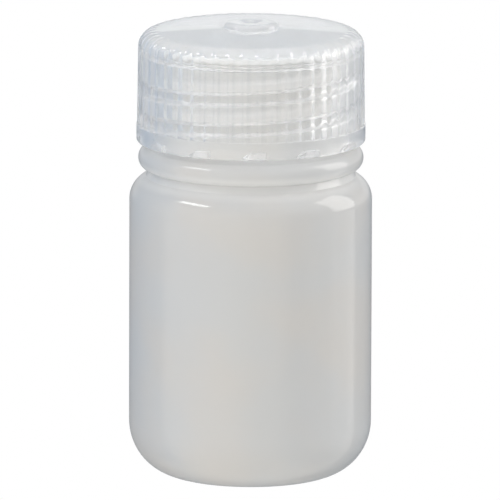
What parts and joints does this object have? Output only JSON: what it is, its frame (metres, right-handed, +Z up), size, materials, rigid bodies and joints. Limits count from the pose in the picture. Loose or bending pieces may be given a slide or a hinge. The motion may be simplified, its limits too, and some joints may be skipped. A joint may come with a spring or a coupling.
{
  "type": "reagent bottle",
  "caption": "Small translucent plastic wide-mouth bottle with a rounded heel, a moulded collar, and a fluted screw closure over a sealing liner.",
  "frame": {"origin": "on the bottle's axis, in the plane it stands on", "axes": "+Z up along the axis towards the closure; -Y is the side seen at the front of the picture"},
  "size_m": [0.034, 0.034, 0.0642],
  "materials": {
    "bottle": "translucent milky polyethylene, satin gloss",
    "closure": "translucent natural polypropylene, glossy",
    "liner": "soft closed-cell foam, matt"
  },
  "bodies": {
    "bottle": {"bottle": "bottle"},
    "liner": {"liner": "liner"},
    "closure": {"closure": "closure"}
  },
  "joints": [
    {"name": "closure_lift", "type": "slide", "parent": "bottle", "child": "liner", "axis": [0, 0, 1], "range_m": [0, 0.0086]},
    {"name": "closure_turn", "type": "hinge", "parent": "liner", "child": "closure", "pos_m": [0, 0, 0.0605], "axis": [0, 0, 1], "range_deg": [0, 720]}
  ],
  "couplings": [
    {"joint": "closure_lift", "follows": "closure_turn", "m_per_rad": 0.00068436}
  ]
}
